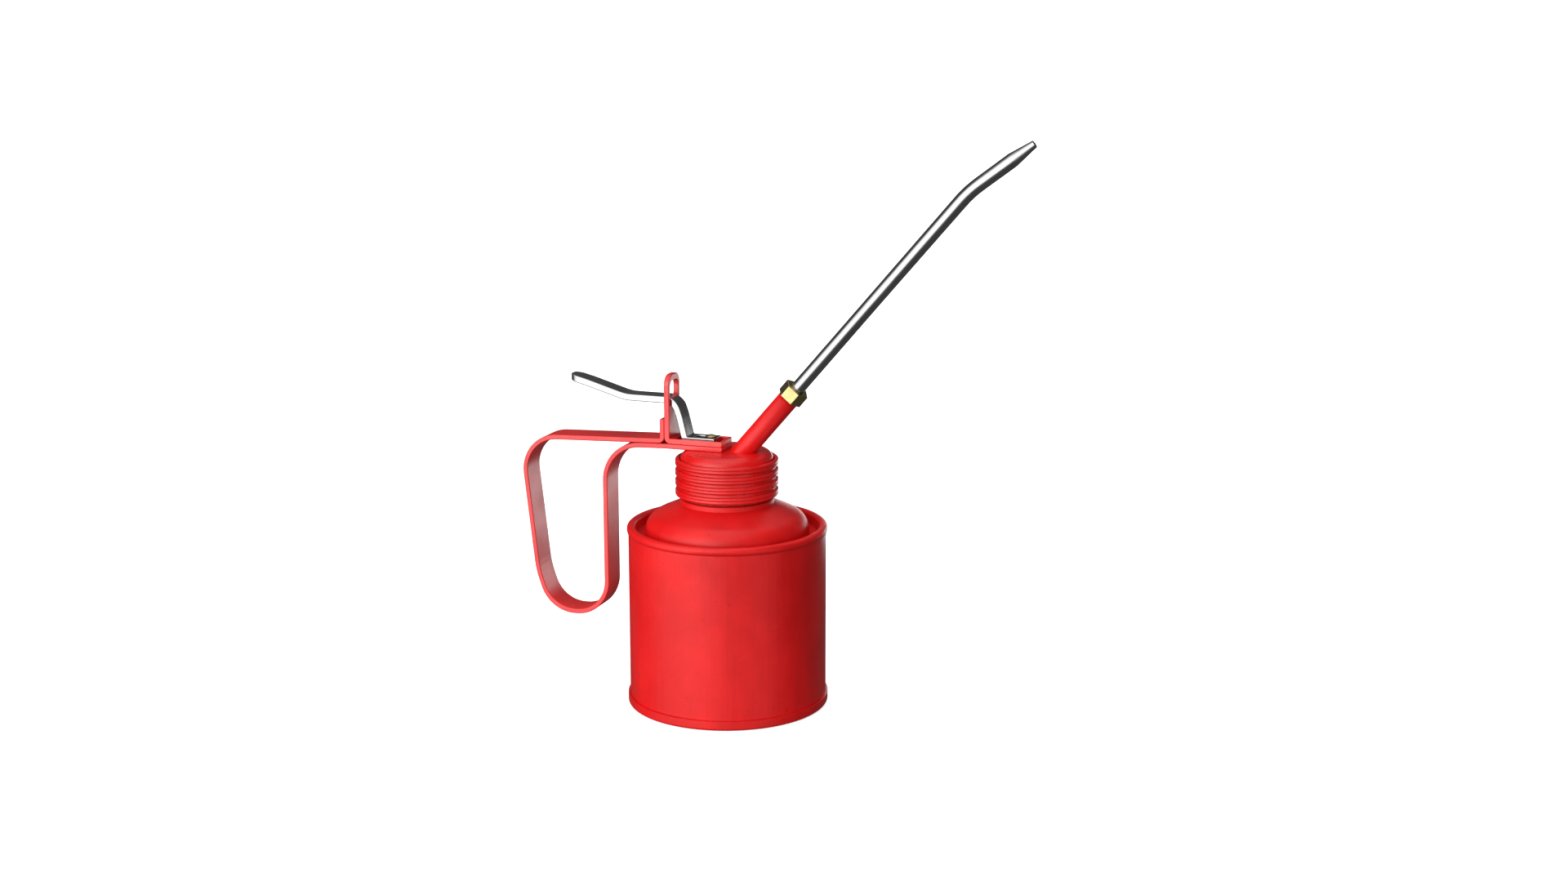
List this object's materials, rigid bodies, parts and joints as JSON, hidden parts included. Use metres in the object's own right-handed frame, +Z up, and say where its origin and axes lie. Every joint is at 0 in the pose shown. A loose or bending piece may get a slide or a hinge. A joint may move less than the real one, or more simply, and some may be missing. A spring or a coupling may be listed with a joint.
{
  "type": "pump oil can",
  "caption": "Red sheet-steel pump oil can with a screw cap, strap handle, thumb lever and a long bent spout on a hex nut.",
  "frame": {"origin": "centre of the circle on which the can stands, on the axis of the can and cap", "axes": "+Z up along the can's axis, +X towards the spout, -X towards the handle and thumb lever, +Y to the side"},
  "size_m": [0.244, 0.0946, 0.2676],
  "materials": {
    "red_paint": "satin red paint",
    "red_paint_base": "satin red paint",
    "red_paint_top": "satin red paint",
    "red_paint_neck": "satin red paint",
    "red_paint_cap": "satin red paint",
    "red_paint_strap": "satin red paint",
    "red_paint_bracket": "satin red paint",
    "red_paint_socket": "satin red paint",
    "plated_steel": "bright plated steel",
    "chrome": "bright plated tube",
    "brass_bright": "turned brass",
    "brass": "turned brass",
    "brass_nut": "machined brass",
    "steel_ball": "polished steel",
    "spring_steel": "drawn spring wire",
    "leather": "oiled leather",
    "felt": "oiled felt",
    "cork": "moulded cork and rubber"
  },
  "bodies": {
    "can": {"can_wall": "red_paint", "can_bottom": "red_paint_base", "can_shoulder": "red_paint_top", "neck": "red_paint_neck"},
    "gasket": {"cap_gasket": "cork"},
    "cap": {"cap_shell": "red_paint_cap", "handle_strap": "red_paint_strap", "lever_bracket": "red_paint_bracket", "spout_socket": "red_paint_socket", "delivery_tube": "brass", "pump_barrel": "brass", "gland_packing": "felt", "packing_washer": "brass", "foot_valve": "brass", "ball_stop_pin": "spring_steel", "suction_tube": "brass", "strainer": "brass"},
    "lever": {"lever": "plated_steel"},
    "plunger": {"plunger_rod": "brass_bright", "piston": "brass", "piston_cup": "leather", "piston_nut": "brass", "return_spring": "spring_steel"},
    "upper_valve_ball": {"piston_ball": "steel_ball"},
    "lower_valve_ball": {"foot_ball": "steel_ball"},
    "washer": {"spout_washer": "leather"},
    "spout": {"spout_tube": "chrome", "spout_collar": "brass"},
    "nut": {"spout_nut": "brass_nut"}
  },
  "joints": [
    {"name": "cap_turn", "type": "hinge", "parent": "gasket", "child": "cap", "pos_m": [0, 0, 0.1], "axis": [0, 0, 1], "range_deg": [0, 900]},
    {"name": "cap_lift", "type": "slide", "parent": "can", "child": "gasket", "axis": [0, 0, 1], "range_m": [0, 0.01]},
    {"name": "lever_pivot", "type": "hinge", "parent": "cap", "child": "lever", "pos_m": [-0.0272, 0, 0.1412], "axis": [0, -1, 0], "range_deg": [0, 20], "stiffness_Nm_per_rad": 0.32, "springref_deg": -21.2},
    {"name": "plunger_slide", "type": "slide", "parent": "cap", "child": "plunger", "axis": [0, 0, 1], "range_m": [0, 0.0075], "deforming": ["return_spring"]},
    {"name": "upper_ball_lift", "type": "slide", "parent": "plunger", "child": "upper_valve_ball", "axis": [0, 0, 1], "range_m": [0, 0.0012]},
    {"name": "lower_ball_lift", "type": "slide", "parent": "cap", "child": "lower_valve_ball", "axis": [0, 0, 1], "range_m": [0, 0.0015]},
    {"name": "nut_turn", "type": "hinge", "parent": "washer", "child": "nut", "pos_m": [0.0081, 0, 0.121], "axis": [0.6481, 0, 0.7615], "range_deg": [0, 900]},
    {"name": "spout_lift", "type": "slide", "parent": "cap", "child": "washer", "axis": [0.6481, 0, 0.7615], "range_m": [0, 0.0025]},
    {"name": "spout_swivel", "type": "hinge", "parent": "washer", "child": "spout", "pos_m": [0.0081, 0, 0.121], "axis": [0.6481, 0, 0.7615], "continuous": true}
  ],
  "couplings": [
    {"joint": "cap_turn", "follows": "cap_lift", "rad_per_m": 1570.7},
    {"joint": "lever_pivot", "follows": "plunger_slide", "rad_per_m": 46.512},
    {"joint": "nut_turn", "follows": "spout_lift", "rad_per_m": 6283}
  ]
}
